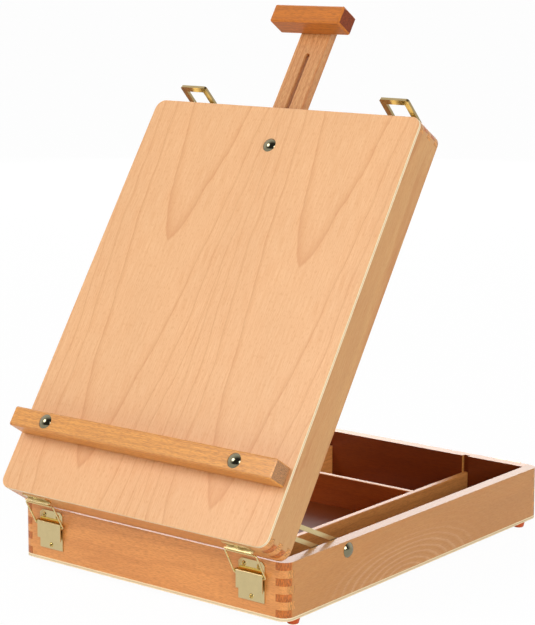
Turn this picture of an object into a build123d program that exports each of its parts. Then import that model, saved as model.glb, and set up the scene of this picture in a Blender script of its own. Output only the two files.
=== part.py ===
"""Table-top box easel: a shallow wooden case whose lid tips up about the front rim and carries the canvas.

The model stands open, as it is used. X runs to the right along the front, Y to the rear and Z up,
and the origin is the bottom centre of the whole open easel. All sizes are millimetres.
Pieces of the case are placed from base_datum, and pieces of the lid from lid_datum, which is tilted.
"""
from build123d import *
from math import atan2, cos, degrees, radians, sin
import os

os.makedirs("parts", exist_ok=True)

# Case
case_width = 305.0
case_length = 400.0
wall_thickness = 11.5
corner_radius = 10.0
ply_thickness = 3.0
base_wall_height = 47.5
lid_wall_height = 32.6
base_fingers = 7
lid_fingers = 5

# Feet under the base
foot_height = 5.5
foot_top_diameter = 12.4
foot_bottom_diameter = 9.6
foot_side_inset = 6.6
foot_front_inset = 17.5
foot_rear_inset = 25.0
foot_edge = 1.0

# Lid, tilted about the front rim
panel_edge = 0.7
open_angle = 56.8
rim_gap = 0.3
hinge_forward = 0.29
hinge_above_rim = 1.07

# Trays inside the base
divider_thickness = 6.0
divider_top = 33.6
right_divider_inset = 78.0
left_divider_inset = 59.5
cross_divider_inset = 101.0
groove_width = 7.0
groove_depth = 4.0
housing_depth = 2.0
divider_clearance = 0.3
divider_edge = 0.8

# Dome-headed bolts
dome_diameter = 13.5
dome_height = 3.2
bolt_diameter = 5.0
bolt_clearance = 0.2
nut_across_flats = 8.0
nut_height = 4.0
washer_diameter = 12.0
washer_thickness = 1.0
clamp_gap = 0.3
bolt_end = 2.0

# Canvas ledge on the panel
ledge_length = 300.0
ledge_width = 18.0
ledge_height = 22.0
ledge_from_front = 52.1
ledge_bolt_inset = 41.5
ledge_edge = 1.2

# Mast and its head
mast_width = 34.0
mast_thickness = 10.0
mast_panel_gap = 0.8
mast_side_gap = 0.4
mast_low_end = 104.0
mast_beyond_case = 98.6
mast_slot_top_margin = 38.6
mast_slot_low_margin = 17.0
mast_bolt_inset = 38.7
mast_edge = 0.8
head_length = 80.0
head_height = 18.4
head_depth = 22.6
head_edge = 1.6
head_screw_spacing = 18.0
head_screw_length = 20.0

# Wing nut on the mast bolt
wing_hub_diameter = 10.0
wing_hub_height = 7.0
wing_reach = 14.0
wing_thickness = 2.4
wing_taper = 8.0
wing_angle = 32.0
wing_middle_height = 6.0

# Slotted stays between base and lid
stay_thickness = 1.6
stay_wall_gap = 0.8
stay_width = 15.0
stay_eye_diameter = 17.0
stay_eye_hole = 10.6
stay_tail = 108.5
stay_slot_width = 6.9
stay_slot_start = 16.0
stay_slot_end = 104.0
stay_bolt_from_front = 85.9
stay_bolt_height = 42.1
stay_pivot_from_front = 25.5
stay_pivot_depth = 18.0
pivot_screw_diameter = 4.0
pivot_head_diameter = 13.0
pivot_head_height = 1.6
pivot_head_gap = 0.3
pivot_thread_diameter = 3.2
pivot_thread_length = 8.0

# Sheet-metal catches, shared sizes
catch_inset = 36.4
sheet = 1.0
catch_plate_width = 28.0
catch_screw_head = 4.6
catch_screw_head_height = 1.3
catch_screw_diameter = 2.4
catch_screw_length = 7.5
pilot_clearance = 0.1
pin_diameter = 1.2
wire_diameter = 1.6
running_clearance = 0.05
bracket_sheet = 0.8
ear_thickness = 0.9
ear_radius = 1.4
drill_start = 1.0
side_gap = 0.3

# Front catch: plate on the base, lever and wire bail
front_plate_low = 12.4
front_plate_high = 47.8
front_plate_cut = 3.0
front_low_screw = 16.3
front_high_screws = 43.4
front_screw_spacing = 16.0
ramp_top = 40.9
ramp_low = 38.8
ramp_out = 2.2
ramp_swell = 0.8
ramp_width = 24.0
bracket_gap = 0.4
front_pin_out = 3.4
front_pin_height = 36.9
front_lever_width = 28.6
front_lever_low = 22.0
front_lever_sheet = 0.8
front_knuckle_radius = 1.15
front_flange_low = 32.7
front_flange_high = 35.9
front_flange_depth = 2.2
bail_eye_out = 2.6
bail_eye_height = 34.4
bail_leg_spacing = 33.6
bail_length = 26.4
bail_lean = 29.3
bail_bend_radius = 1.7
bail_end_x = 13.0

# Hook plate of the front catch, on the lid's front wall
front_hook_width = 28.6
front_hook_low = 18.2
front_hook_high = 27.6
front_hook_out = 3.8
front_hook_lip = 3.2
front_hook_screw = 24.6
front_hook_bend = 0.9

# Rear catch: plate on the lid, lever and stamped loop
rear_plate_low = 4.0
rear_plate_high = 30.0
rear_plate_corner = 2.0
rear_low_screw = 14.5
rear_high_screw = 25.5
rear_pin_out = 6.4
rear_pin_depth = 9.2
rear_lever_width = 17.0
rear_lever_length = 13.0
rear_lever_angle = -60.0
rear_flange_reach = 3.3
rear_eye_reach = 3.0
rear_eye_angle = -28.0
loop_width = 31.0
loop_leg = 5.5
loop_band = 6.0
loop_length = 29.0
loop_depth = 2.6
loop_sheet = 0.8
loop_angle = 76.5
loop_corner = 2.4
loop_flange_start = 3.0
loop_stub = 1.6

# Hook plate of the rear catch, on the base's rear wall
rear_hook_low = 34.4
rear_hook_top = 50.3
rear_hook_out = 5.0
rear_hook_arm = 37.4
rear_hook_tip = 34.8
rear_hook_width = 17.0
rear_hook_screw = 43.0
rear_hook_screw_spacing = 20.0
rear_hook_flange = 3.2
rear_hook_notch = 3.0

# Places worked out from the sizes above
base_height = ply_thickness + base_wall_height
lid_depth = lid_wall_height + ply_thickness
inner_half_width = case_width / 2 - wall_thickness
catch_x = case_width / 2 - catch_inset
right_divider_x = case_width / 2 - right_divider_inset
left_divider_x = left_divider_inset - case_width / 2
cross_divider_y = case_length - cross_divider_inset
ledge_bolt_spacing = ledge_length - 2 * ledge_bolt_inset
mast_bolt_y = case_length - mast_bolt_inset
mast_high_end = case_length + mast_beyond_case
mast_slot_top = mast_high_end - mast_slot_top_margin
tilt = radians(open_angle)
hinge_drop = rim_gap - hinge_above_rim
lid_shift = hinge_forward * cos(tilt) - hinge_drop * sin(tilt) - hinge_forward
lid_lift = hinge_forward * sin(tilt) + hinge_drop * cos(tilt) + hinge_above_rim
foremost = lid_shift - lid_depth * sin(tilt)
rearmost = case_length + rear_hook_out
base_front_y = -(foremost + rearmost) / 2
base_datum = Plane(origin=(0, base_front_y, foot_height))
lid_datum = Plane(
    origin=(0, base_front_y + lid_shift, foot_height + base_height + lid_lift),
    x_dir=(1, 0, 0),
    z_dir=(0, -sin(tilt), cos(tilt)),
)
latch_sides = (-1, 1)


def across(datum, x):
    """Plane square to X: its own x runs to the rear of that case half, its own y along the depth."""
    return Plane(origin=datum.from_local_coords((x, 0, 0)), x_dir=datum.y_dir, z_dir=datum.x_dir)


def facing(datum, point, normal):
    """Seat plane at a point of a case half, with its normal given in that half's own directions."""
    origin = datum.from_local_coords(point)
    outward = datum.from_local_coords(normal) - datum.origin
    sideways = datum.y_dir if abs(normal[0]) > 0.5 else datum.x_dir
    return Plane(origin=origin, x_dir=sideways, z_dir=outward)


def turned_over(seat, depth):
    """Seat plane at a depth below the given one, facing the other way."""
    deep = seat.offset(-depth)
    return Plane(origin=deep.origin, x_dir=deep.x_dir, z_dir=-deep.z_dir)


def placed(datum, *points):
    """The given points of a case half as planes, to put solids there in that half's directions."""
    return [Plane(datum.from_local_coords(point), datum.x_dir, datum.z_dir) for point in points]


def finger_heights(height, count, first):
    """Middle heights of every second finger of a corner joint, from the given one up."""
    return [height * (index + 0.5) / count for index in range(first, count, 2)]


def case_wall(datum, bottom, height, count, strip, corners, first_gap):
    """One wall of a case half: a strip of the rounded outline with gaps for its neighbours' fingers."""
    x, y, width, length = strip
    with BuildPart(datum) as wall:
        with BuildSketch(datum.offset(bottom)):
            with Locations((0, case_length / 2)):
                RectangleRounded(case_width, case_length, corner_radius)
            with Locations((x, y)):
                Rectangle(width, length, mode=Mode.INTERSECT)
        extrude(amount=height)
        for corner_x, corner_y in corners:
            for middle in finger_heights(height, count, first_gap):
                with Locations((corner_x, corner_y, bottom + middle)):
                    Box(wall_thickness, wall_thickness, height / count, mode=Mode.SUBTRACT)
    return wall.part


def end_wall(datum, bottom, height, count, at_rear, first_gap):
    """Front or rear wall, between the two long walls."""
    y = case_length - wall_thickness / 2 if at_rear else wall_thickness / 2
    x = (case_width - wall_thickness) / 2
    strip = (0, y, case_width, wall_thickness)
    return case_wall(datum, bottom, height, count, strip, [(-x, y), (x, y)], first_gap)


def long_wall(datum, bottom, height, count, side, first_gap):
    """Left or right wall, which runs from front to rear."""
    x = side * (case_width - wall_thickness) / 2
    low = wall_thickness / 2
    strip = (x, case_length / 2, wall_thickness, case_length)
    return case_wall(datum, bottom, height, count, strip, [(x, low), (x, case_length - low)], first_gap)


def drill(seat, diameter, depth):
    """Solid to cut away for a round hole, from the seat plane down along its axis."""
    with BuildPart() as hole:
        with BuildSketch(seat.offset(drill_start)):
            Circle(diameter / 2)
        extrude(amount=-depth - drill_start)
    return hole.part


def turned(seat, outline_points, dome=None):
    """Solid of revolution about the seat's normal; the outline is listed as radius and height."""
    profile_plane = Plane(origin=seat.origin, x_dir=seat.x_dir, z_dir=-seat.y_dir)
    with BuildPart() as piece:
        with BuildSketch(profile_plane):
            with BuildLine():
                Polyline(*outline_points)
                if dome:
                    TangentArc((0, dome), outline_points[-1], tangent=(1, 0))
                    Line((0, dome), outline_points[0])
                else:
                    Line(outline_points[-1], outline_points[0])
            make_face()
        revolve(axis=Axis(seat.origin, seat.z_dir))
    return piece.part


def dome_bolt(seat, length):
    """Carriage-style bolt: a low dome on the seat and a plain shank below it."""
    radius = bolt_diameter / 2
    outline = [(0, -length), (radius, -length), (radius, 0), (dome_diameter / 2, 0)]
    return turned(seat, outline, dome=dome_height)


def small_screw(seat, length):
    """Round-headed wood screw."""
    radius = catch_screw_diameter / 2
    outline = [(0, -length), (radius, -length), (radius, 0), (catch_screw_head / 2, 0)]
    return turned(seat, outline, dome=catch_screw_head_height)


def washer_and_nut(seat):
    """Washer against the seat with a hexagon nut on it, as one fastener set."""
    with BuildPart() as fastener:
        with BuildSketch(seat):
            Circle(washer_diameter / 2)
            Circle(bolt_diameter / 2 + running_clearance, mode=Mode.SUBTRACT)
        extrude(amount=washer_thickness)
        with BuildSketch(seat.offset(washer_thickness)):
            RegularPolygon(nut_across_flats / 2, 6, major_radius=False)
            Circle(bolt_diameter / 2 + running_clearance, mode=Mode.SUBTRACT)
        extrude(amount=nut_height)
    return fastener.part


# Places of the fasteners, used by the holes and by the fasteners alike
stay_bolt_seats = [
    facing(base_datum, (side * case_width / 2, stay_bolt_from_front, stay_bolt_height), (side, 0, 0))
    for side in latch_sides
]
ledge_middle = ledge_from_front + ledge_width / 2
ledge_bolt_seats = [
    facing(lid_datum, (side * ledge_bolt_spacing / 2, ledge_middle, lid_depth + ledge_height), (0, 0, 1))
    for side in latch_sides
]
mast_bolt_seat = facing(lid_datum, (0, mast_bolt_y, lid_depth), (0, 0, 1))
stay_pivot_seats = [
    facing(lid_datum, (side * inner_half_width, stay_pivot_from_front, stay_pivot_depth), (-side, 0, 0))
    for side in latch_sides
]
front_screw_seats = [
    facing(base_datum, (side * catch_x + x, -sheet, height), (0, -1, 0))
    for side in latch_sides
    for x, height in (
        (0, front_low_screw),
        (-front_screw_spacing / 2, front_high_screws),
        (front_screw_spacing / 2, front_high_screws),
    )
]
front_hook_seats = [
    facing(lid_datum, (side * catch_x, -sheet, front_hook_screw), (0, -1, 0)) for side in latch_sides
]
rear_screw_seats = [
    facing(lid_datum, (side * catch_x, case_length + sheet, depth), (0, 1, 0))
    for side in latch_sides
    for depth in (rear_low_screw, rear_high_screw)
]
rear_hook_seats = [
    facing(base_datum, (side * catch_x + x, case_length + sheet, rear_hook_screw), (0, 1, 0))
    for side in latch_sides
    for x in (-rear_hook_screw_spacing / 2, rear_hook_screw_spacing / 2)
]
bolt_hole = bolt_diameter + 2 * bolt_clearance
pilot_hole = catch_screw_diameter + 2 * pilot_clearance
pilot_depth = catch_screw_length + pilot_clearance

# Base walls: the long walls' end grain shows in the front face, at the lowest finger and every second one
groove_middle = ply_thickness + base_wall_height / 2
with BuildPart() as base_front_wall:
    add(end_wall(base_datum, ply_thickness, base_wall_height, base_fingers, False, 0))
    groove_y = wall_thickness - groove_depth / 2
    for x in (left_divider_x, right_divider_x):
        with Locations(*placed(base_datum, (x, groove_y, groove_middle))):
            Box(groove_width, groove_depth, base_wall_height, mode=Mode.SUBTRACT)
    for seat in front_screw_seats:
        add(drill(seat, pilot_hole, pilot_depth), mode=Mode.SUBTRACT)
base_front_wall.part.label = "base_front_wall"
export_step(base_front_wall.part, "parts/base_front_wall.step")

with BuildPart() as base_rear_wall:
    add(end_wall(base_datum, ply_thickness, base_wall_height, base_fingers, True, 0))
    groove_y = case_length - wall_thickness + groove_depth / 2
    for x in (left_divider_x, right_divider_x):
        with Locations(*placed(base_datum, (x, groove_y, groove_middle))):
            Box(groove_width, groove_depth, base_wall_height, mode=Mode.SUBTRACT)
    for seat in rear_hook_seats:
        add(drill(seat, pilot_hole, pilot_depth), mode=Mode.SUBTRACT)
base_rear_wall.part.label = "base_rear_wall"
export_step(base_rear_wall.part, "parts/base_rear_wall.step")

with BuildPart() as base_left_wall:
    add(long_wall(base_datum, ply_thickness, base_wall_height, base_fingers, -1, 1))
    add(drill(stay_bolt_seats[0], bolt_hole, wall_thickness), mode=Mode.SUBTRACT)
base_left_wall.part.label = "base_left_wall"
export_step(base_left_wall.part, "parts/base_left_wall.step")

with BuildPart() as base_right_wall:
    add(long_wall(base_datum, ply_thickness, base_wall_height, base_fingers, 1, 1))
    add(drill(stay_bolt_seats[1], bolt_hole, wall_thickness), mode=Mode.SUBTRACT)
base_right_wall.part.label = "base_right_wall"
export_step(base_right_wall.part, "parts/base_right_wall.step")

# Plywood bottom
with BuildPart() as base_panel:
    with BuildSketch(base_datum):
        with Locations((0, case_length / 2)):
            RectangleRounded(case_width, case_length, corner_radius)
    extrude(amount=ply_thickness)
base_panel.part.label = "base_panel"
export_step(base_panel.part, "parts/base_panel.step")

# Tapered rubber feet
foot_x = case_width / 2 - foot_side_inset
with BuildPart() as feet:
    with BuildSketch(Plane.XY):
        with Locations(
            (-foot_x, base_front_y + foot_front_inset),
            (foot_x, base_front_y + foot_front_inset),
            (-foot_x, base_front_y + case_length - foot_rear_inset),
            (foot_x, base_front_y + case_length - foot_rear_inset),
        ):
            Circle(foot_bottom_diameter / 2)
    foot_taper = degrees(atan2((foot_top_diameter - foot_bottom_diameter) / 2, foot_height))
    extrude(amount=foot_height, taper=-foot_taper)
    fillet(feet.faces().group_by(Axis.Z)[0].edges(), foot_edge)
feet.part.label = "feet"
export_step(feet.part, "parts/feet.step")

# Tray dividers: two long ones in grooves of the end walls, one across the middle housed in both
divider_length = case_length - 2 * wall_thickness + 2 * (groove_depth - divider_clearance)
divider_height = divider_top - ply_thickness
divider_middle = ply_thickness + divider_height / 2
with BuildPart() as right_divider:
    with Locations(*placed(base_datum, (right_divider_x, case_length / 2, divider_middle))):
        Box(divider_thickness, divider_length, divider_height)
    fillet(right_divider.edges().filter_by(Axis.Y).group_by(Axis.Z)[-1], divider_edge)
    housing_x = right_divider_x - divider_thickness / 2 + housing_depth / 2
    with Locations(*placed(base_datum, (housing_x, cross_divider_y, divider_middle))):
        Box(housing_depth, groove_width, divider_height, mode=Mode.SUBTRACT)
right_divider.part.label = "right_divider"
export_step(right_divider.part, "parts/right_divider.step")

with BuildPart() as left_divider:
    with Locations(*placed(base_datum, (left_divider_x, case_length / 2, divider_middle))):
        Box(divider_thickness, divider_length, divider_height)
    fillet(left_divider.edges().filter_by(Axis.Y).group_by(Axis.Z)[-1], divider_edge)
    housing_x = left_divider_x + divider_thickness / 2 - housing_depth / 2
    with Locations(*placed(base_datum, (housing_x, cross_divider_y, divider_middle))):
        Box(housing_depth, groove_width, divider_height, mode=Mode.SUBTRACT)
left_divider.part.label = "left_divider"
export_step(left_divider.part, "parts/left_divider.step")

cross_from = left_divider_x + divider_thickness / 2 - housing_depth + divider_clearance
cross_to = right_divider_x - divider_thickness / 2 + housing_depth - divider_clearance
with BuildPart() as cross_divider:
    cross_middle = ((cross_from + cross_to) / 2, cross_divider_y, divider_middle)
    with Locations(*placed(base_datum, cross_middle)):
        Box(cross_to - cross_from, divider_thickness, divider_height)
    fillet(cross_divider.edges().filter_by(Axis.X).group_by(Axis.Z)[-1], divider_edge)
cross_divider.part.label = "cross_divider"
export_step(cross_divider.part, "parts/cross_divider.step")

# Lid walls: here the end walls' end grain shows in the long sides
with BuildPart() as lid_front_wall:
    add(end_wall(lid_datum, 0, lid_wall_height, lid_fingers, False, 1))
    for seat in front_hook_seats:
        add(drill(seat, pilot_hole, pilot_depth), mode=Mode.SUBTRACT)
lid_front_wall.part.label = "lid_front_wall"
export_step(lid_front_wall.part, "parts/lid_front_wall.step")

mast_top = lid_wall_height - mast_panel_gap
mast_notch_low = mast_top - mast_thickness - mast_side_gap
with BuildPart() as lid_rear_wall:
    add(end_wall(lid_datum, 0, lid_wall_height, lid_fingers, True, 1))
    notch_height = lid_wall_height - mast_notch_low
    notch_middle = (0, case_length - wall_thickness / 2, mast_notch_low + notch_height / 2)
    with Locations(*placed(lid_datum, notch_middle)):
        Box(mast_width + 2 * mast_side_gap, wall_thickness, notch_height, mode=Mode.SUBTRACT)
    for seat in rear_screw_seats:
        add(drill(seat, pilot_hole, pilot_depth), mode=Mode.SUBTRACT)
lid_rear_wall.part.label = "lid_rear_wall"
export_step(lid_rear_wall.part, "parts/lid_rear_wall.step")

pivot_pilot = pivot_thread_diameter + 2 * pilot_clearance
with BuildPart() as lid_left_wall:
    add(long_wall(lid_datum, 0, lid_wall_height, lid_fingers, -1, 0))
    add(drill(stay_pivot_seats[0], pivot_pilot, pivot_thread_length + pilot_clearance), mode=Mode.SUBTRACT)
lid_left_wall.part.label = "lid_left_wall"
export_step(lid_left_wall.part, "parts/lid_left_wall.step")

with BuildPart() as lid_right_wall:
    add(long_wall(lid_datum, 0, lid_wall_height, lid_fingers, 1, 0))
    add(drill(stay_pivot_seats[1], pivot_pilot, pivot_thread_length + pilot_clearance), mode=Mode.SUBTRACT)
lid_right_wall.part.label = "lid_right_wall"
export_step(lid_right_wall.part, "parts/lid_right_wall.step")

# Plywood drawing panel, which is the top of the closed box
with BuildPart() as lid_panel:
    with BuildSketch(lid_datum.offset(lid_wall_height)):
        with Locations((0, case_length / 2)):
            RectangleRounded(case_width, case_length, corner_radius)
    extrude(amount=ply_thickness)
    outer_face = lid_panel.faces().sort_by(Axis(lid_datum.origin, lid_datum.z_dir))[-1]
    fillet(outer_face.edges(), panel_edge)
    for seat in ledge_bolt_seats:
        add(drill(seat, bolt_hole, ledge_height + ply_thickness), mode=Mode.SUBTRACT)
    add(drill(mast_bolt_seat, bolt_hole, ply_thickness), mode=Mode.SUBTRACT)
lid_panel.part.label = "lid_panel"
export_step(lid_panel.part, "parts/lid_panel.step")

# Canvas ledge with its bolts and nuts
with BuildPart() as ledge:
    with Locations(*placed(lid_datum, (0, ledge_middle, lid_depth + ledge_height / 2))):
        Box(ledge_length, ledge_width, ledge_height)
    chamfer(ledge.edges(), ledge_edge)
    for seat in ledge_bolt_seats:
        add(drill(seat, bolt_hole, ledge_height), mode=Mode.SUBTRACT)
ledge.part.label = "ledge"
export_step(ledge.part, "parts/ledge.step")

nut_stack = washer_thickness + nut_height
with BuildPart() as ledge_bolts:
    for seat in ledge_bolt_seats:
        add(dome_bolt(seat, ledge_height + ply_thickness + nut_stack + bolt_end))
ledge_bolts.part.label = "ledge_bolts"
export_step(ledge_bolts.part, "parts/ledge_bolts.step")

with BuildPart() as ledge_nuts:
    for seat in ledge_bolt_seats:
        add(washer_and_nut(turned_over(seat, ledge_height + ply_thickness)))
ledge_nuts.part.label = "ledge_nuts"
export_step(ledge_nuts.part, "parts/ledge_nuts.step")

# Mast: a slotted board that slides behind the panel, round the mast bolt
slot_width = bolt_diameter + 2 * bolt_clearance
slot_low = mast_low_end + mast_slot_low_margin
with BuildPart() as mast:
    mast_middle = (0, (mast_low_end + mast_high_end) / 2, mast_top - mast_thickness / 2)
    with Locations(*placed(lid_datum, mast_middle)):
        Box(mast_width, mast_high_end - mast_low_end, mast_thickness)
    chamfer(mast.edges().filter_by(Axis(lid_datum.origin, lid_datum.y_dir)), mast_edge)
    with BuildSketch(lid_datum.offset(mast_top)):
        with Locations((0, (slot_low + mast_slot_top) / 2)):
            SlotOverall(mast_slot_top - slot_low, slot_width, rotation=90)
    extrude(amount=-mast_thickness, mode=Mode.SUBTRACT)
    head_screw_y = mast_high_end - head_height / 2
    with BuildSketch(lid_datum.offset(mast_top)):
        with Locations((-head_screw_spacing / 2, head_screw_y), (head_screw_spacing / 2, head_screw_y)):
            Circle(pilot_hole / 2)
    extrude(amount=-mast_thickness, mode=Mode.SUBTRACT)
mast.part.label = "mast"
export_step(mast.part, "parts/mast.step")

head_screw_seats = [
    facing(lid_datum, (x, head_screw_y, mast_top - mast_thickness), (0, 0, -1))
    for x in (-head_screw_spacing / 2, head_screw_spacing / 2)
]
with BuildPart() as mast_head:
    head_middle = (0, mast_high_end - head_height / 2, mast_top + head_depth / 2)
    with Locations(*placed(lid_datum, head_middle)):
        Box(head_length, head_height, head_depth)
    chamfer(mast_head.edges(), head_edge)
    for seat in head_screw_seats:
        add(drill(seat, pilot_hole, head_screw_length + pilot_clearance), mode=Mode.SUBTRACT)
mast_head.part.label = "mast_head"
export_step(mast_head.part, "parts/mast_head.step")

with BuildPart() as head_screws:
    for seat in head_screw_seats:
        add(small_screw(seat, head_screw_length))
head_screws.part.label = "head_screws"
export_step(head_screws.part, "parts/head_screws.step")

# Bolt, washer and wing nut that clamp the mast behind the panel
mast_rear = mast_top - mast_thickness
with BuildPart() as mast_bolt:
    add(dome_bolt(mast_bolt_seat, lid_depth - mast_rear + washer_thickness + wing_hub_height + bolt_end))
mast_bolt.part.label = "mast_bolt"
export_step(mast_bolt.part, "parts/mast_bolt.step")

washer_seat = facing(lid_datum, (0, mast_bolt_y, mast_rear - clamp_gap), (0, 0, -1))
with BuildPart() as mast_washer:
    with BuildSketch(washer_seat):
        Circle(washer_diameter / 2)
        Circle(bolt_diameter / 2 + running_clearance, mode=Mode.SUBTRACT)
    extrude(amount=washer_thickness)
mast_washer.part.label = "mast_washer"
export_step(mast_washer.part, "parts/mast_washer.step")


def wing_nut():
    """Wing nut on the ground plane: a tapered hub with two raised wings and a bore."""
    with BuildPart() as nut:
        with BuildSketch():
            Circle(wing_hub_diameter / 2)
        extrude(amount=wing_hub_height, taper=wing_taper)
        with BuildSketch(Plane.XZ):
            for side in latch_sides:
                with Locations((side * wing_reach / 2, wing_middle_height)):
                    SlotOverall(wing_reach, wing_hub_height, rotation=side * wing_angle)
        extrude(amount=wing_thickness / 2, both=True)
        with BuildSketch():
            Circle(bolt_diameter / 2 + running_clearance)
        extrude(amount=2 * wing_reach, mode=Mode.SUBTRACT)
    return nut.part


wing_seat = washer_seat.offset(washer_thickness)
with BuildPart() as mast_wing_nut:
    add(wing_seat.location * wing_nut())
mast_wing_nut.part.label = "mast_wing_nut"
export_step(mast_wing_nut.part, "parts/mast_wing_nut.step")

# Slotted stays, one inside each side
stay_x = inner_half_width - stay_wall_gap - stay_thickness / 2
stay_pivot = lid_datum.from_local_coords((0, stay_pivot_from_front, stay_pivot_depth))
stay_anchor = base_datum.from_local_coords((0, stay_bolt_from_front, stay_bolt_height))
stay_run = (stay_anchor - stay_pivot).normalized()


def slotted_stay(side):
    """Brass strap: a wide eye round the lid's screw and a long slot for the base's bolt."""
    start = Vector(side * stay_x, stay_pivot.Y, stay_pivot.Z)
    with BuildPart() as stay:
        with BuildSketch(Plane(origin=start, x_dir=stay_run, z_dir=(1, 0, 0))):
            with Locations(((stay_tail - stay_width / 2) / 2, 0)):
                SlotCenterToCenter(stay_tail - stay_width / 2, stay_width)
            Circle(stay_eye_diameter / 2)
            Circle(stay_eye_hole / 2, mode=Mode.SUBTRACT)
            with Locations(((stay_slot_start + stay_slot_end) / 2, 0)):
                SlotOverall(stay_slot_end - stay_slot_start, stay_slot_width, mode=Mode.SUBTRACT)
        extrude(amount=stay_thickness / 2, both=True)
    return stay.part


with BuildPart() as left_stay:
    add(slotted_stay(-1))
left_stay.part.label = "left_stay"
export_step(left_stay.part, "parts/left_stay.step")

with BuildPart() as right_stay:
    add(slotted_stay(1))
right_stay.part.label = "right_stay"
export_step(right_stay.part, "parts/right_stay.step")

stay_clamp_depth = wall_thickness + stay_wall_gap + stay_thickness + clamp_gap
with BuildPart() as stay_bolts:
    for seat in stay_bolt_seats:
        add(dome_bolt(seat, stay_clamp_depth + nut_stack + bolt_end))
stay_bolts.part.label = "stay_bolts"
export_step(stay_bolts.part, "parts/stay_bolts.step")

with BuildPart() as stay_nuts:
    for seat in stay_bolt_seats:
        add(washer_and_nut(turned_over(seat, stay_clamp_depth)))
stay_nuts.part.label = "stay_nuts"
export_step(stay_nuts.part, "parts/stay_nuts.step")

with BuildPart() as stay_pivot_screws:
    for seat in stay_pivot_seats:
        thread = pivot_thread_diameter / 2
        shoulder = pivot_screw_diameter / 2
        head_from = stay_wall_gap + stay_thickness + pivot_head_gap
        outline = [
            (0, -pivot_thread_length),
            (thread, -pivot_thread_length),
            (thread, 0),
            (shoulder, 0),
            (shoulder, head_from),
            (pivot_head_diameter / 2, head_from),
        ]
        add(turned(seat, outline, dome=head_from + pivot_head_height))
stay_pivot_screws.part.label = "stay_pivot_screws"
export_step(stay_pivot_screws.part, "parts/stay_pivot_screws.step")


def plate_ear(datum, x, foot, pin):
    """Ear of a bracket: a tab from the plate out to a round end with the hole for the lever's pin."""
    with BuildPart() as tab:
        with BuildSketch(across(datum, x)):
            with Locations(((foot + pin[0]) / 2, pin[1])):
                Rectangle(abs(foot - pin[0]), 2 * ear_radius)
            with Locations(pin):
                Circle(ear_radius)
                Circle(pin_diameter / 2, mode=Mode.SUBTRACT)
        extrude(amount=ear_thickness / 2, both=True)
    return tab.part


def lever_pin(datum, x, pin, length):
    """Plain pin along X through a catch's ears."""
    with BuildPart() as rod:
        with BuildSketch(across(datum, x)):
            with Locations(pin):
                Circle(pin_diameter / 2)
        extrude(amount=length / 2, both=True)
    return rod.part


# Front catch plates, screwed on the base
front_pin = (-front_pin_out, front_pin_height)
front_ear_x = front_lever_width / 2 + side_gap + ear_thickness / 2
with BuildPart() as front_catch_plates:
    for side in latch_sides:
        plate_middle = (front_plate_low + front_plate_high) / 2
        with BuildSketch(facing(base_datum, (side * catch_x, 0, plate_middle), (0, -1, 0))):
            plate = Rectangle(catch_plate_width, front_plate_high - front_plate_low)
            chamfer(plate.vertices().group_by(Axis.Y)[-1], front_plate_cut)
        extrude(amount=sheet)
    for seat in front_screw_seats:
        add(drill(seat, catch_screw_diameter + 2 * running_clearance, sheet), mode=Mode.SUBTRACT)
front_catch_plates.part.label = "front_catch_plates"
export_step(front_catch_plates.part, "parts/front_catch_plates.step")

# Brackets welded on those plates: a strap with a curved ramp above the lever and an ear at each end of it
bracket_low = front_flange_high + bracket_gap
bracket_shoulder = front_pin_height + ear_radius
with BuildPart() as front_catch_brackets:
    for side in latch_sides:
        with BuildSketch(facing(base_datum, (side * catch_x, -sheet, bracket_low), (0, -1, 0))):
            with Locations((0, (bracket_shoulder - bracket_low) / 2)):
                Rectangle(2 * front_ear_x + ear_thickness, bracket_shoulder - bracket_low)
            with Locations((0, (ramp_top - bracket_low) / 2)):
                Rectangle(ramp_width, ramp_top - bracket_low)
        extrude(amount=bracket_sheet)
        with BuildSketch(across(base_datum, side * catch_x)):
            with BuildLine():
                outer = ThreePointArc(
                    (-sheet, ramp_top),
                    (-sheet - ramp_swell, (ramp_top + ramp_low) / 2),
                    (-sheet - ramp_out, ramp_low),
                )
                Line(outer @ 1, (-sheet, ramp_low))
                Line((-sheet, ramp_low), outer @ 0)
            make_face()
        extrude(amount=ramp_width / 2, both=True)
        for end in latch_sides:
            add(plate_ear(base_datum, side * catch_x + end * front_ear_x, -sheet, front_pin))
front_catch_brackets.part.label = "front_catch_brackets"
export_step(front_catch_brackets.part, "parts/front_catch_brackets.step")

with BuildPart() as front_catch_pins:
    for side in latch_sides:
        add(lever_pin(base_datum, side * catch_x, front_pin, 2 * front_ear_x + ear_thickness))
front_catch_pins.part.label = "front_catch_pins"
export_step(front_catch_pins.part, "parts/front_catch_pins.step")

with BuildPart() as front_catch_screws:
    for seat in front_screw_seats:
        add(small_screw(seat, catch_screw_length))
front_catch_screws.part.label = "front_catch_screws"
export_step(front_catch_screws.part, "parts/front_catch_screws.step")


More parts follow.
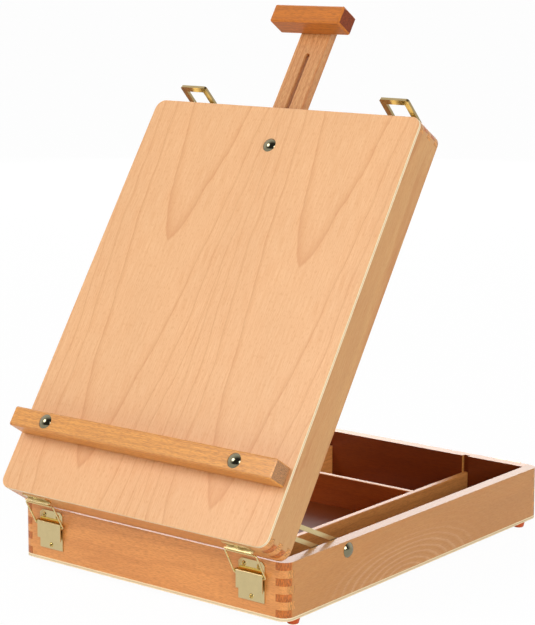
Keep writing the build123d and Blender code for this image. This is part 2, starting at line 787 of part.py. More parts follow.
def front_lever(side):
    """Pressed lever: a flat plate rolled round its pin at the top, with two flanges that hold the bail."""
    x = side * catch_x
    plate_y = -front_pin_out - front_lever_sheet / 2
    flange_middle = (front_flange_low + front_flange_high) / 2
    with BuildPart() as lever:
        with BuildSketch(across(base_datum, x)):
            with Locations((plate_y, (front_lever_low + front_pin_height) / 2)):
                Rectangle(front_lever_sheet, front_pin_height - front_lever_low)
            with Locations(front_pin):
                Circle(front_knuckle_radius)
                Circle(pin_diameter / 2 + running_clearance, mode=Mode.SUBTRACT)
        extrude(amount=front_lever_width / 2, both=True)
        for end in latch_sides:
            flange_x = x + end * (front_lever_width - front_lever_sheet) / 2
            with BuildSketch(across(base_datum, flange_x)):
                with Locations((plate_y + front_flange_depth / 2, flange_middle)):
                    Rectangle(front_flange_depth, front_flange_high - front_flange_low)
                with Locations((-bail_eye_out, bail_eye_height)):
                    Circle(wire_diameter / 2 + running_clearance, mode=Mode.SUBTRACT)
            extrude(amount=front_lever_sheet / 2, both=True)
    return lever.part


with BuildPart() as left_front_lever:
    add(front_lever(-1))
left_front_lever.part.label = "left_front_lever"
export_step(left_front_lever.part, "parts/left_front_lever.step")

with BuildPart() as right_front_lever:
    add(front_lever(1))
right_front_lever.part.label = "right_front_lever"
export_step(right_front_lever.part, "parts/right_front_lever.step")


def front_bail(side):
    """Wire bail: one bent wire, its two ends turned in through the lever's flanges."""
    lean = radians(bail_lean)
    eye = base_datum.from_local_coords((side * catch_x, -bail_eye_out, bail_eye_height))
    bail_plane = Plane(origin=eye, x_dir=(1, 0, 0), z_dir=(0, -cos(lean), -sin(lean)))
    half = bail_leg_spacing / 2
    with BuildPart() as bail:
        with BuildLine(bail_plane) as route:
            FilletPolyline(
                (-bail_end_x, 0),
                (-half, 0),
                (-half, bail_length),
                (half, bail_length),
                (half, 0),
                (bail_end_x, 0),
                radius=bail_bend_radius,
            )
        with BuildSketch(Plane(origin=route.wires()[0] @ 0, z_dir=route.wires()[0] % 0)):
            Circle(wire_diameter / 2)
        sweep()
    return bail.part


with BuildPart() as left_front_bail:
    add(front_bail(-1))
left_front_bail.part.label = "left_front_bail"
export_step(left_front_bail.part, "parts/left_front_bail.step")

with BuildPart() as right_front_bail:
    add(front_bail(1))
right_front_bail.part.label = "right_front_bail"
export_step(right_front_bail.part, "parts/right_front_bail.step")

# Hook plates on the lid's front wall, rolled outward and up at the low edge
with BuildPart() as front_hooks:
    for side in latch_sides:
        with BuildSketch(across(lid_datum, side * catch_x)):
            with Locations((-sheet / 2, (front_hook_low + front_hook_high) / 2)):
                Rectangle(sheet, front_hook_high - front_hook_low)
            with Locations((-front_hook_out / 2, front_hook_low + sheet / 2)):
                Rectangle(front_hook_out, sheet)
            with Locations((-front_hook_out + sheet / 2, front_hook_low + front_hook_lip / 2)):
                Rectangle(sheet, front_hook_lip)
        extrude(amount=front_hook_width / 2, both=True)
    low_edges = front_hooks.edges().filter_by(Axis.X).group_by(Axis(lid_datum.origin, lid_datum.z_dir))[0]
    fillet(low_edges.group_by(Axis(lid_datum.origin, lid_datum.y_dir))[0], front_hook_bend)
    for seat in front_hook_seats:
        add(drill(seat, catch_screw_diameter + 2 * running_clearance, sheet), mode=Mode.SUBTRACT)
front_hooks.part.label = "front_hooks"
export_step(front_hooks.part, "parts/front_hooks.step")

with BuildPart() as front_hook_screws:
    for seat in front_hook_seats:
        add(small_screw(seat, catch_screw_length))
front_hook_screws.part.label = "front_hook_screws"
export_step(front_hook_screws.part, "parts/front_hook_screws.step")

# Rear catch plates on the lid's rear wall
rear_pin = (case_length + rear_pin_out, rear_pin_depth)
rear_ear_x = rear_lever_width / 2 + side_gap + ear_thickness / 2
with BuildPart() as rear_catch_plates:
    for side in latch_sides:
        plate_middle = (rear_plate_low + rear_plate_high) / 2
        with BuildSketch(facing(lid_datum, (side * catch_x, case_length, plate_middle), (0, 1, 0))):
            RectangleRounded(catch_plate_width, rear_plate_high - rear_plate_low, rear_plate_corner)
        extrude(amount=sheet)
    for seat in rear_screw_seats:
        add(drill(seat, catch_screw_diameter + 2 * running_clearance, sheet), mode=Mode.SUBTRACT)
rear_catch_plates.part.label = "rear_catch_plates"
export_step(rear_catch_plates.part, "parts/rear_catch_plates.step")

with BuildPart() as rear_catch_brackets:
    for side in latch_sides:
        with BuildSketch(facing(lid_datum, (side * catch_x, case_length + sheet, rear_pin_depth), (0, 1, 0))):
            Rectangle(2 * rear_ear_x + ear_thickness, 2 * ear_radius)
        extrude(amount=bracket_sheet)
        for end in latch_sides:
            add(plate_ear(lid_datum, side * catch_x + end * rear_ear_x, case_length + sheet, rear_pin))
rear_catch_brackets.part.label = "rear_catch_brackets"
export_step(rear_catch_brackets.part, "parts/rear_catch_brackets.step")

with BuildPart() as rear_catch_pins:
    for side in latch_sides:
        add(lever_pin(lid_datum, side * catch_x, rear_pin, 2 * rear_ear_x + ear_thickness))
rear_catch_pins.part.label = "rear_catch_pins"
export_step(rear_catch_pins.part, "parts/rear_catch_pins.step")

with BuildPart() as rear_catch_screws:
    for seat in rear_screw_seats:
        add(small_screw(seat, catch_screw_length))
rear_catch_screws.part.label = "rear_catch_screws"
export_step(rear_catch_screws.part, "parts/rear_catch_screws.step")

rear_eye = (
    rear_pin[0] + rear_eye_reach * cos(radians(rear_eye_angle)),
    rear_pin[1] + rear_eye_reach * sin(radians(rear_eye_angle)),
)


def rear_lever(side):
    """Narrow lever of the rear catch, swung open, with two flanges that hold the loop."""
    x = side * catch_x
    swing = radians(rear_lever_angle)
    middle = rear_lever_length / 2
    flange_root = (rear_pin[0] + rear_flange_reach * cos(swing), rear_pin[1] + rear_flange_reach * sin(swing))
    with BuildPart() as lever:
        with BuildSketch(across(lid_datum, x)):
            with Locations((rear_pin[0] + middle * cos(swing), rear_pin[1] + middle * sin(swing))):
                Rectangle(rear_lever_length, sheet, rotation=rear_lever_angle)
            with Locations(rear_pin):
                Circle(front_knuckle_radius)
                Circle(pin_diameter / 2 + running_clearance, mode=Mode.SUBTRACT)
        extrude(amount=rear_lever_width / 2, both=True)
        for end in latch_sides:
            with BuildSketch(across(lid_datum, x + end * (rear_lever_width - sheet) / 2)):
                with Locations(rear_eye, flange_root):
                    Circle(ear_radius)
                with Locations(rear_eye):
                    Circle(wire_diameter / 2 + running_clearance, mode=Mode.SUBTRACT)
            extrude(amount=sheet / 2, both=True)
    return lever.part


with BuildPart() as left_rear_lever:
    add(rear_lever(-1))
left_rear_lever.part.label = "left_rear_lever"
export_step(left_rear_lever.part, "parts/left_rear_lever.step")

with BuildPart() as right_rear_lever:
    add(rear_lever(1))
right_rear_lever.part.label = "right_rear_lever"
export_step(right_rear_lever.part, "parts/right_rear_lever.step")


def rear_loop(side):
    """Stamped loop: a flanged frame with a rounded window and two stub pins that sit in the lever."""
    x = side * catch_x
    rise = radians(loop_angle)
    along = (0, cos(rise), sin(rise))
    outward = (0, sin(rise), -cos(rise))
    start = lid_datum.from_local_coords((x, rear_eye[0], rear_eye[1]))
    run = (lid_datum.from_local_coords(along) - lid_datum.origin).normalized()
    back = (lid_datum.from_local_coords(outward) - lid_datum.origin).normalized()
    frame_plane = Plane(origin=start - back * (loop_depth / 2), x_dir=run, z_dir=back)
    low = -wire_diameter
    window_length = loop_length - loop_band - low
    with BuildPart() as loop:
        with BuildSketch(frame_plane):
            with Locations(((low + loop_length) / 2, 0)):
                frame = Rectangle(loop_length - low, loop_width)
            fillet(frame.vertices().group_by(Axis.X)[-1], loop_corner)
            with Locations((low + window_length / 2, 0)):
                window = Rectangle(window_length, loop_width - 2 * loop_leg, mode=Mode.SUBTRACT)
        extrude(amount=loop_depth)
        with BuildSketch(frame_plane.offset(loop_sheet)):
            band_middle = loop_length - loop_band / 2
            with Locations((band_middle, 0)):
                Rectangle(loop_band - 2 * loop_sheet, loop_width - 2 * loop_leg)
            for end in latch_sides:
                with Locations(((loop_flange_start + loop_length) / 2, end * (loop_width - loop_leg) / 2)):
                    Rectangle(loop_length - loop_flange_start - 2 * loop_sheet, loop_leg - 2 * loop_sheet)
        extrude(amount=loop_depth, mode=Mode.SUBTRACT)
        for end in latch_sides:
            inner_x = x + end * (loop_width / 2 - loop_leg)
            stub = across(lid_datum, inner_x)
            with BuildSketch(stub):
                with Locations(rear_eye):
                    Circle(wire_diameter / 2)
            extrude(amount=-end * (loop_width / 2 - loop_leg - rear_lever_width / 2 + loop_stub))
    return loop.part


with BuildPart() as left_rear_loop:
    add(rear_loop(-1))
left_rear_loop.part.label = "left_rear_loop"
export_step(left_rear_loop.part, "parts/left_rear_loop.step")

with BuildPart() as right_rear_loop:
    add(rear_loop(1))
right_rear_loop.part.label = "right_rear_loop"
export_step(right_rear_loop.part, "parts/right_rear_loop.step")

# Hook plates of the rear catches, on the base's rear wall
with BuildPart() as rear_hooks:
    for side in latch_sides:
        section = across(base_datum, side * catch_x)
        with BuildSketch(section):
            with Locations((case_length + sheet / 2, (rear_hook_low + rear_hook_top) / 2)):
                Rectangle(sheet, rear_hook_top - rear_hook_low)
            with Locations((case_length + rear_hook_flange / 2, rear_hook_top - sheet / 2)):
                Rectangle(rear_hook_flange, sheet)
        extrude(amount=catch_plate_width / 2, both=True)
        with BuildSketch(section):
            with Locations((case_length + rear_hook_out / 2, rear_hook_arm + sheet / 2)):
                Rectangle(rear_hook_out, sheet)
            with Locations((case_length + rear_hook_out - sheet / 2, (rear_hook_tip + rear_hook_arm) / 2)):
                Rectangle(sheet, rear_hook_arm - rear_hook_tip)
        extrude(amount=rear_hook_width / 2, both=True)
        with BuildSketch(section):
            with Locations((case_length + sheet + rear_hook_flange / 2, rear_hook_top - sheet / 2)):
                Rectangle(rear_hook_flange, 2 * sheet)
        extrude(amount=rear_hook_notch / 2, both=True, mode=Mode.SUBTRACT)
    for seat in rear_hook_seats:
        add(drill(seat, catch_screw_diameter + 2 * running_clearance, sheet), mode=Mode.SUBTRACT)
rear_hooks.part.label = "rear_hooks"
export_step(rear_hooks.part, "parts/rear_hooks.step")

with BuildPart() as rear_hook_screws:
    for seat in rear_hook_seats:
        add(small_screw(seat, catch_screw_length))
rear_hook_screws.part.label = "rear_hook_screws"
export_step(rear_hook_screws.part, "parts/rear_hook_screws.step")
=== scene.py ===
"""Looks of the box easel: lacquered beech, beech plywood, brass-plated catches and nickel-plated bolts.

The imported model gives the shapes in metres. This file dresses its solids, replaces the bolts, nuts, screws
and wire bails by finer ones, and sets the floor, the light and the camera.
"""
import math

import bmesh
import bpy
from bpy.props import FloatProperty, FloatVectorProperty, PointerProperty
from mathutils import Euler, Matrix, Vector


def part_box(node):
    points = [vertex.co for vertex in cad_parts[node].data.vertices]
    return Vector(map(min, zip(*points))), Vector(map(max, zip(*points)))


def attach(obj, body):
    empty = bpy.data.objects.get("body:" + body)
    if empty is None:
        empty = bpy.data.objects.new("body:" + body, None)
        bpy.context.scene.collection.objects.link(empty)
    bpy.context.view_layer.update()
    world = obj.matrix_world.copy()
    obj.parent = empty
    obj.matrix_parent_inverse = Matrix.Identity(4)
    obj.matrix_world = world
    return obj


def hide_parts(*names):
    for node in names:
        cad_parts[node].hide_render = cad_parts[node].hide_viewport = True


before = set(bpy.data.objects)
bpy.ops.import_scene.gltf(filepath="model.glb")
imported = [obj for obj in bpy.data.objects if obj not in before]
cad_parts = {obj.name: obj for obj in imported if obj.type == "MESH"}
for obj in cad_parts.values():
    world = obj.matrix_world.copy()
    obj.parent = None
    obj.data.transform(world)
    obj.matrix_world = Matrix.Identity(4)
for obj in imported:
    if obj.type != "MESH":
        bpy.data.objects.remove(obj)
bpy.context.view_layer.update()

bl_info = {
    "name": "Box Easel",
    "version": (1, 0, 0),
    "blender": (4, 5, 0),
    "location": "View3D > Sidebar > Box Easel",
    "description": "Dresses the box easel and sets its stage",
    "category": "Object",
}

MM = 0.001
# Left, then right
SIDES = (-1, 1)
WHITE = (1, 1, 1, 1)
VERT, EDGE, FACE = bmesh.types.BMVert, bmesh.types.BMEdge, bmesh.types.BMFace

# Places in millimetres: across the case, back from its front, and up from the base's underside or the lid's rim
CASE_WIDTH, CASE_LENGTH = 305.0, 400.0
LID_WALL, PLYWOOD, LEDGE = 32.6, 3.0, 22.0
PANEL_TOP = LID_WALL + PLYWOOD
STAY_BOLT_Y, STAY_BOLT_Z, STAY_NUT_X = 85.9, 42.1, 138.3
LEDGE_BOLT_X, LEDGE_BOLT_Y = 108.5, 61.1
MAST_BOLT_Y = 361.3
HEAD_SCREW_X, HEAD_SCREW_Y, HEAD_SCREW_Z = 9, 489.4, 21.8
CATCH_X, CATCH_PLATE = 116.1, 1
FRONT_CATCH_HOLES = ((0, 16.3), (-8, 43.4), (8, 43.4))
FRONT_HOOK_HOLES = ((0, 24.6),)
REAR_CATCH_HOLES = ((0, 14.5), (0, 25.5))
REAR_HOOK_HOLES = ((-10, 43), (10, 43))
BAIL_PIN_Y, BAIL_PIN_Z, BAIL_LEAN = -2.6, 34.4, math.radians(29.3)

# Bolts and nuts with an M5 thread, and the wood screws' pitch, in millimetres
THREAD_RADIUS, THREAD_PITCH, SCREW_PITCH = 2.5, 0.8, 0.9
HEAD_RADIUS, HEAD_HEIGHT, HEAD_RIM = 6.75, 3.0, 0.2
WASHER_BORE, WASHER_RADIUS, WASHER_HEIGHT = 2.6, 6, 1
NUT_BORE, NUT_FLAT, NUT_HEIGHT, NUT_CHAMFER = 2.56, 4, 4, 0.4

# Grain of solid beech: noise cells per millimetre along the board, across it and through it
BANDS = (1 / 90, 1 / 13, 1 / 13)
FIBRES = (1 / 26, 2.0, 2.0)
FLECKS = (1 / 5, 1.35, 1.35)
END_PORES = (1, 1.6, 0.35)
RING_PITCH, RING_WANDER = 4.2, 6
# Long walls look like end grain round their corners too, where the finger joints are
ROUND_THE_CORNER = 0.14

# Grain of the veneer: noise cells per millimetre across the leaf and along it
LEAF_BROAD = (1 / 55, 1 / 110, 0)
LEAF_CLOSE = (1 / 5, 1 / 24, 0)
LEAF_FIBRES = (1.0, 1 / 26, 0)
LEAF_PORES = (1.3, 1 / 4, 0)
# Two leaves of one flitch side by side, in millimetres: their joint, pitch, first heart, and the second's drop
LEAF_JOINT, LEAF_PITCH, LEAF_HEART, LEAF_DROP = 0.8, 156.0, 72.5, 10.0
# Arches of the veneer: half width, power and slope of their sides, height of the first tip, pitch of the tips
ARCH_WIDTH, ARCH_POWER, ARCH_POINT, ARCH_START, ARCH_PITCH = 4.85, 2.353, 1.1, 32.0, 225.0
# Fainter lines to each pitch of the arches
FINE_LINES = 5.3
# Drawing marks in steel: noise cells per millimetre
DRAWN_MARKS = (0.3, 3.0, 3.0)

# Light of the world on the object, share of the floor that glows, and its level in mirrors, where 1 is white
AMBIENT, FLOOR_GLOW, FLOOR_MIRRORED = 0.42, 0.97, 0.8
# Direction of the studio's dark side, and the levels between which mirrors fade towards it
DARK_SIDE, DARK_EDGES, DARK_LEVELS = (0.62, -0.77, 0.15), (-0.1, 0.55), (1.0, 0.05)
# Round lamps: name, place and width in metres, power in watts
LAMPS = (
    ("key_light", (-1.3, -2.6, 2.4), 1.8, 52.0),
    ("fill_light", (2.8, -1.3, 1.3), 1.6, 46.0),
    ("rim_light", (-1.9, 2.5, 0.95), 2.0, 26.0),
)
LAMPS_AIM = (0, 0, 0.2)
FLOOR_RADIUS = 60

# The photograph's camera: image, focal length and principal point in pixels, place in millimetres
IMAGE_WIDTH, IMAGE_HEIGHT = 535, 625
FOCAL_LENGTH, CENTRE_X, CENTRE_Y = 2023.309, 284.292, 242.481
SENSOR_HEIGHT = 24.0
CAMERA_PLACE = (1137.195, -1452.907, 565.213)
CAMERA_RIGHT = (0.78785883, 0.61584982, 0.00273165)
CAMERA_DOWN = (0.09397027, -0.11583054, -0.98881387)


def linear(code):
    """Linear colour of an sRGB hex value."""
    parts = [int(code[index:index + 2], 16) / 255 for index in (1, 3, 5)]
    return [part / 12.92 if part <= 0.04045 else ((part + 0.055) / 1.055) ** 2.4 for part in parts]


def colour_prop(name, code, description):
    """Colour property with an sRGB hex default."""
    return FloatVectorProperty(
        name=name, description=description, subtype="COLOR", size=3, min=0, max=1, default=linear(code)
    )


def size_prop(name, value, description):
    """Length property whose default is given in millimetres."""
    return FloatProperty(
        name=name, description=description, subtype="DISTANCE", unit="LENGTH", default=value * MM
    )


class EASEL_PG_sizes(bpy.types.PropertyGroup):
    """Sizes that place the lid's new pieces and the patterns"""

    lid_tilt: FloatProperty(
        name="Lid tilt", description="Angle of the open lid", subtype="ANGLE", default=math.radians(56.8)
    )
    lid_front: size_prop("Lid front edge", -187.349, "Y of the lid's lower front edge")
    lid_rim: size_prop("Lid rim height", 56.891, "Z of the lid's lower front edge")
    lid_wall: size_prop("Lid wall height", LID_WALL, "Height of the lid's walls")
    ply: size_prop("Plywood thickness", PLYWOOD, "Thickness of the panel and of the bottom")


class EASEL_PG_colours(bpy.types.PropertyGroup):
    """Colours of the finishes"""

    veneer: colour_prop("Veneer", "#e6b27d", "Pale beech veneer of the panel")
    veneer_line: colour_prop("Veneer line", "#c67a38", "Late wood lines in the veneer")
    base_side: colour_prop("Base sides", "#c78d4a", "Paler beech of the base's side walls")
    beech: colour_prop("Beech", "#eca35a", "Solid beech of the front and rear walls and of the dividers")
    beech_deep: colour_prop("Deep beech", "#b4682e", "Darker rings and flecks in solid beech")
    pale_rings: colour_prop("Pale rings", "#e3b98a", "Pale arches in the base's side walls")
    end_grain: colour_prop("End grain", "#b5631f", "Ends of the long walls, where the lacquer soaks in")
    end_pale: colour_prop("Pale end grain", "#c48644", "Ends of the front and rear walls")
    # Painted shade: the cross divider's front face lies in the lid's shadow, and this colour darkens it
    divider_painted_shade: colour_prop("Divider shade", "#b07c50", "Darker face of the cross divider")
    lid_side: colour_prop("Lid sides", "#cfa166", "Paler beech of the lid's side walls")
    ledge: colour_prop("Ledge", "#eba54a", "Golden beech of the canvas ledge")
    ledge_end: colour_prop("Ledge ends", "#a67343", "Ends of the ledge")
    mast: colour_prop("Mast", "#d6a066", "Pale beech of the mast")
    head: colour_prop("Mast head", "#cf7a2c", "Reddish beech of the mast head")
    head_end: colour_prop("Head ends", "#7c3510", "Ends of the mast's head")
    # Painted shade: the inside of the base lies in the lid's shadow, and this colour darkens its inward faces and
    # the bottom's upper face
    inside: colour_prop("Inside", "#845010", "Darker stained inside of the base")
    ply_edge: colour_prop("Plywood edge", "#f5deb4", "Cream edge of the plywood")
    brass: colour_prop("Brass plating", "#dfca96", "Pale olive brass plating of the catches")
    # Painted shade: the rear loops have the same plating as the other catches, and this darker copy of it stands
    # in for their shade
    shadowed_brass: colour_prop("Dark brass", "#b39e72", "Darker brass of the rear loops")
    bright_brass: colour_prop("Bright brass", "#e0bf5e", "Brighter brass of the catches' ramps and ears")
    screws: colour_prop("Screws", "#d8bd74", "Brassed screws of the catches")
    wire: colour_prop("Wire", "#e6cf95", "Bright wire of the bails")
    nickel: colour_prop("Nickel plating", "#8e886f", "Nickel plating of the bolts")
    rubber: colour_prop("Feet", "#c85312", "Amber rubber of the feet")
    floor: colour_prop("Floor", "#ffffff", "Pale floor of the stage")


def sizes():
    """Property group with the sizes."""
    return bpy.context.scene.easel_sizes


def colours():
    """Property group with the colours."""
    return bpy.context.scene.easel_colours


def rgba(colour, factor=1.0):
    """Opaque colour, made lighter or darker by a factor."""
    return [min(1.0, part * factor) for part in colour] + [1.0]


def plug(tree, node, sockets):
    """Sets a node's inputs, as values or as links."""
    for key, value in sockets.items():
        if isinstance(value, bpy.types.NodeSocket):
            tree.links.new(value, node.inputs[key])
        else:
            node.inputs[key].default_value = value


def add_node(tree, kind, sockets=None, **settings):
    """Adds a node with its settings and its inputs."""
    made = tree.nodes.new(kind)
    for key, value in settings.items():
        setattr(made, key, value)
    plug(tree, made, sockets or {})
    return made


def new_material(name):
    """Empty material with its output and surface shader."""
    material = bpy.data.materials.new(name)
    material.use_nodes = True
    tree = material.node_tree
    tree.nodes.clear()
    shader = add_node(tree, "ShaderNodeBsdfPrincipled")
    add_node(tree, "ShaderNodeOutputMaterial", {"Surface": shader.outputs[0]})
    return material, tree, shader


def calc(tree, operation, *values):
    """Result of a Math node."""
    return add_node(tree, "ShaderNodeMath", dict(enumerate(values)), operation=operation).outputs[0]


def vector_calc(tree, operation, *values):
    """Result of a Vector Math node, which is a number for a length or a dot product."""
    made = add_node(tree, "ShaderNodeVectorMath", dict(enumerate(values)), operation=operation)
    return made.outputs["Value" if operation in ("LENGTH", "DOT_PRODUCT") else "Vector"]


def ranged(tree, value, source, target=(0.0, 1.0), interpolation="LINEAR"):
    """Value led from one range to another and kept inside it."""
    sockets = {0: value, 1: source[0], 2: source[1], 3: target[0], 4: target[1]}
    return add_node(tree, "ShaderNodeMapRange", sockets, interpolation_type=interpolation).outputs[0]


def noise(tree, place, cells=None, scale=1.0, detail=2.0):
    """Noise from 0 to 1 at a place; cells, where given, is how many there are per unit along each axis."""
    if cells:
        place = vector_calc(tree, "MULTIPLY", place, cells)
    made = add_node(tree, "ShaderNodeTexNoise", {"Vector": place, "Scale": scale, "Detail": detail})
    return made.outputs["Fac"]


def ramp(tree, value, stops):
    """Colour of a value between stops, each with its place and its grey level or colour."""
    made = add_node(tree, "ShaderNodeValToRGB", {0: value})
    elements = made.color_ramp.elements
    while len(elements) < len(stops):
        elements.new(0.5)
    for element, (place, colour) in zip(elements, stops):
        element.position = place
        element.color = colour if isinstance(colour, list) else (colour, colour, colour, 1)
    return made.outputs[0]


def mix(tree, factor, first, second, blend="MIX"):
    """Mixed colour of two colours."""
    sockets = {"Factor": factor, 6: first, 7: second}
    return add_node(tree, "ShaderNodeMix", sockets, data_type="RGBA", blend_type=blend).outputs[2]


def relief(tree, height, strength, depth):
    """Normal of a fine relief, as deep as given in millimetres."""
    sockets = {"Height": height, "Strength": strength, "Distance": depth * MM}
    return add_node(tree, "ShaderNodeBump", sockets).outputs[0]


def millimetres(tree, turn=(0, 0, 0), shift=(0, 0, 0)):
    """Normal, and object coordinates in millimetres after a rotation and a shift."""
    coords = add_node(tree, "ShaderNodeTexCoord")
    sockets = {"Vector": coords.outputs["Object"], "Rotation": turn, "Location": shift, "Scale": (1 / MM,) * 3}
    return coords.outputs["Normal"], add_node(tree, "ShaderNodeMapping", sockets).outputs[0]


def lid_turn():
    """Rotation from the row frame to the lid's own directions."""
    return Euler((-sizes().lid_tilt, 0, 0)).to_matrix()


def half_origin(in_lid):
    """Lower front edge of the lid or of the base, on the case's middle line."""
    if in_lid:
        return Vector((0, sizes().lid_front, sizes().lid_rim))
    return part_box("base_panel")[0] * Vector((0, 1, 1))


def board_coords(tree, in_lid, along_y):
    """Normal, board coordinates in millimetres with x along the grain, and the rotation back from them."""
    turn = lid_turn() if in_lid else Matrix.Identity(3)
    if along_y:
        turn = Euler((0, 0, -math.pi / 2)).to_matrix() @ turn
    angles = turn.to_euler()
    normal, board = millimetres(tree, angles, -(turn @ half_origin(in_lid)) / MM)
    return normal, board, angles.to_matrix().transposed()


def shaded(tree, normal, tone, inner):
    """Colour with painted shade on the faces that look one way, into the case, where the lid's shadow falls."""
    direction, colour = inner
    hidden = ranged(tree, vector_calc(tree, "DOT_PRODUCT", normal, direction), (0.8, 0.9))
    return mix(tree, hidden, tone, mix(tree, 1.0, tone, rgba(colour), "MULTIPLY"))


def solid_beech(
    name, in_lid, along_y, heart, light, end, inner=None, seed=0.0,
    rings_tone=None, figure=0.26, draw=0.09, flecked=0.35, ends_from=0.72, coat=0.3,
):
    """Solid beech under satin lacquer: rings that show as arches, short dark flecks, darker end grain.

    The heart of the trunk is a point in board coordinates. figure and flecked say how strongly rings and
    flecks show, draw how much the rings change along the grain, and ends_from which faces are end grain.
    """
    material, tree, shader = new_material(name)
    deep = colours().beech_deep
    normal, board, back = board_coords(tree, in_lid, along_y)
    # Board-wide bands of tone, 13 mm across and a hand long
    bands_at = vector_calc(tree, "ADD", vector_calc(tree, "MULTIPLY", board, BANDS), (seed, seed, 0))
    bands = noise(tree, bands_at, detail=3.0)
    # Growth rings about the heart of the trunk, which wander with the bands
    centred = vector_calc(tree, "MULTIPLY", vector_calc(tree, "SUBTRACT", board, heart), (draw, 1, 1))
    wander = vector_calc(tree, "MULTIPLY", bands.node.outputs["Color"], (0, RING_WANDER, RING_WANDER))
    radius = vector_calc(tree, "LENGTH", vector_calc(tree, "ADD", centred, wander))
    phase = calc(tree, "FRACT", calc(tree, "MULTIPLY", radius, 1 / RING_PITCH))
    rings_seen = ramp(tree, phase, [(0, 0.3 * figure), (0.45, 0.0), (0.86, figure), (0.95, 0.3 * figure)])
    if rings_tone:
        # Pale arches only near the heart
        near = ranged(tree, radius, (24.0, 38.0), (1.0, 0.1))
        rings_seen = calc(tree, "MULTIPLY", rings_seen, near)
    # Fibres 0.5 mm wide, and ray flecks 0.7 mm wide and 5 mm long
    fibre = noise(tree, board, FIBRES)
    dashes = ranged(tree, noise(tree, board, FLECKS), (0.44, 0.66), (0.0, flecked))
    threads_seen = ranged(tree, fibre, (0.3, 0.75), (0.0, 0.42))
    tone = mix(tree, bands, rgba(light, 1.12), rgba(light, 0.9))
    tone = mix(tree, rings_seen, tone, rgba(rings_tone or deep))
    tone = mix(tree, dashes, tone, rgba(deep, 0.8))
    tone = mix(tree, threads_seen, tone, rgba(deep, 1.1))
    # Ends of the board soak up more lacquer, so they are darker and redder
    facing = calc(tree, "ABSOLUTE", vector_calc(tree, "DOT_PRODUCT", normal, back @ Vector((1, 0, 0))))
    ended = ranged(tree, facing, (ends_from, ends_from + 0.18), interpolation="SMOOTHSTEP")
    pores = ranged(tree, noise(tree, board, END_PORES, detail=3.0), (0.32, 0.68))
    tone = mix(tree, ended, tone, mix(tree, pores, rgba(end, 1.5), rgba(end, 0.6)))
    # Painted shade on the faces that look into the case
    if inner:
        tone = shaded(tree, normal, tone, inner)
    plug(tree, shader, {
        "Base Color": tone,
        "Roughness": ranged(tree, fibre, (0, 1), (0.36, 0.52)),
        "Normal": relief(tree, fibre, 0.35, 0.06),
        "IOR": 1.45 if coat > 0.1 else 1.3,
        "Coat Weight": coat,
        "Coat Roughness": 0.12,
    })
    return material


def arch_lines(tree, across, up, broad, close):
    """The strong lines of a leaf's arches, and the fainter ones between them."""
    sway = ranged(tree, broad, (0, 1), (-9.0, 9.0))
    shiver = ranged(tree, close, (0, 1), (-0.9, 0.9))
    half = calc(tree, "ABSOLUTE", calc(tree, "ADD", calc(tree, "ADD", across, sway), shiver))
    # The side of an arch climbs with a power of its half width, from a pointed tip
    climb = calc(tree, "POWER", calc(tree, "DIVIDE", half, ARCH_WIDTH), ARCH_POWER)
    climb = calc(tree, "MULTIPLY_ADD", half, ARCH_POINT, climb)
    tip = calc(tree, "SUBTRACT", up, climb)
    arches = calc(tree, "DIVIDE", calc(tree, "ADD", tip, -ARCH_START), ARCH_PITCH)
    strong = ramp(
        tree, calc(tree, "FRACT", arches),
        [(0, 0.5), (0.03, 0.32), (0.1, 0.1), (0.2, 0.0), (0.987, 0.0), (1.0, 0.4)],
    )
    # The fainter lines crowd together beside the arches
    fine = calc(tree, "FRACT", calc(tree, "ADD", calc(tree, "MULTIPLY", arches, FINE_LINES), broad))
    faint = ramp(tree, fine, [(0, 0.26), (0.16, 0.0), (0.94, 0.0), (1.0, 0.26)])
    beside = ranged(tree, half, (34.0, 56.0), (0.1, 0.75))
    return strong, calc(tree, "MULTIPLY", faint, beside)


